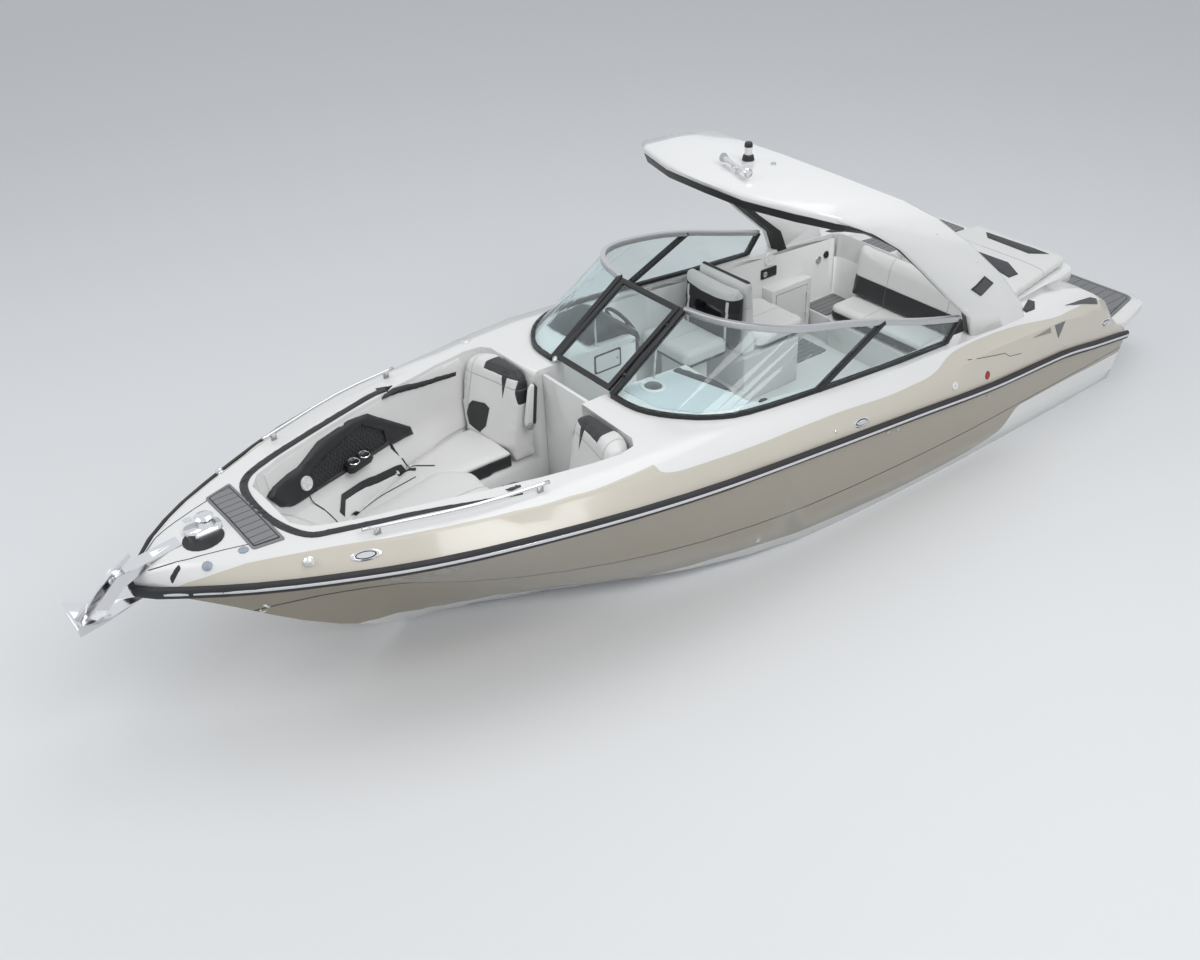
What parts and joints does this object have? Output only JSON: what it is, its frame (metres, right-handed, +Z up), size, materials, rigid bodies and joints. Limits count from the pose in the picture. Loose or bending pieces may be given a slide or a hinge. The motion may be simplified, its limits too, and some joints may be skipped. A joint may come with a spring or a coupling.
{
  "type": "speedboat",
  "caption": "Open-bow sterndrive speedboat with a curved windscreen, transverse arch, cockpit seats, aft sunpad and swim platform.",
  "frame": {"origin": "on the centreline at the waterline, amidships", "axes": "+X towards the bow, +Y to port, +Z up"},
  "size_m": [10.055, 2.864, 3.65],
  "materials": {
    "taupe_gelcoat": "glossy gelcoat",
    "white_gelcoat": "glossy gelcoat",
    "stainless": "polished stainless steel",
    "black_trim": "satin black",
    "rub_rubber": "black rubber with a bright insert",
    "tinted_glass": "tinted safety glass",
    "white_vinyl": "white marine vinyl",
    "charcoal_vinyl": "charcoal marine vinyl",
    "black_paint": "satin black paint"
  },
  "bodies": {
    "boat": {"hull": "taupe_gelcoat", "deck": "white_gelcoat", "liner": "white_gelcoat", "rub_rail": "rub_rubber", "swim_platform": "white_gelcoat", "arch": "white_gelcoat", "windscreen_frame_port": "black_trim", "windscreen_frame_starboard": "black_trim", "windscreen_glass_port": "tinted_glass", "windscreen_glass_starboard": "tinted_glass", "engine": "black_paint", "dash": "charcoal_vinyl", "helm_base": "white_gelcoat", "helm_seat": "white_vinyl", "helm_back": "charcoal_vinyl", "aft_facing_seat": "white_vinyl", "aft_facing_back": "white_vinyl", "bench_base": "white_gelcoat", "bench_seat": "white_vinyl", "bench_back": "white_vinyl", "lounge_seat": "white_vinyl", "lounge_back": "white_vinyl", "locker": "white_gelcoat", "bow_seat_port": "white_vinyl", "bow_seat_starboard": "white_vinyl", "bow_back_port": "white_vinyl", "bow_back_starboard": "white_vinyl", "windlass": "stainless", "anchor_roller": "stainless", "anchor": "stainless", "grab_rail_port": "stainless", "grab_rail_starboard": "stainless", "all_round_light": "white_gelcoat", "horn": "stainless", "gimbal_housing": "black_paint", "trim_tab_port": "stainless", "trim_tab_starboard": "stainless"},
    "gate": {"gate_frame": "black_trim", "gate_glass": "tinted_glass"},
    "walk_door": {"walkway_door": "white_gelcoat"},
    "hatch": {"engine_hatch": "white_gelcoat", "sunpad": "white_vinyl"},
    "locker_lid": {"locker_door": "white_gelcoat"},
    "helm_wheel": {"steering_wheel": "black_trim"},
    "drive_ring": {"gimbal_ring": "black_paint"},
    "drive": {"drive_leg": "black_paint"},
    "prop": {"propeller": "stainless"}
  },
  "joints": [
    {"name": "gate_hinge", "type": "hinge", "parent": "boat", "child": "gate", "pos_m": [1.21178, 0.33635, 1.45912], "axis": [-0.8415, 0, 0.5402], "range_deg": [0, 120]},
    {"name": "walk_door_hinge", "type": "hinge", "parent": "boat", "child": "walk_door", "pos_m": [1.33, 0.276, 0.9], "axis": [0, 0, 1], "range_deg": [0, 90]},
    {"name": "hatch_hinge", "type": "hinge", "parent": "boat", "child": "hatch", "pos_m": [-3.93, 0, 0.965], "axis": [0, -1, 0], "range_deg": [0, 50]},
    {"name": "locker_hinge", "type": "hinge", "parent": "boat", "child": "locker_lid", "pos_m": [-2.186, -0.9512, 0.6], "axis": [0, 0, 1], "range_deg": [0, 90]},
    {"name": "wheel_turn", "type": "hinge", "parent": "boat", "child": "helm_wheel", "pos_m": [0.19, -0.8, 1.2], "axis": [0.8829, 0, -0.4695], "range_deg": [-541, 541]},
    {"name": "steer", "type": "hinge", "parent": "boat", "child": "drive_ring", "pos_m": [-4.4, 0, 0], "axis": [0, 0, 1], "range_deg": [-30, 30]},
    {"name": "trim", "type": "hinge", "parent": "drive_ring", "child": "drive", "pos_m": [-4.4, 0, 0], "axis": [0, 1, 0], "range_deg": [-5, 45]},
    {"name": "prop_spin", "type": "hinge", "parent": "drive", "child": "prop", "pos_m": [-4.98, 0, -0.62], "axis": [1, 0, 0], "continuous": true}
  ],
  "couplings": [
    {"joint": "wheel_turn", "follows": "steer", "ratio": 18}
  ]
}
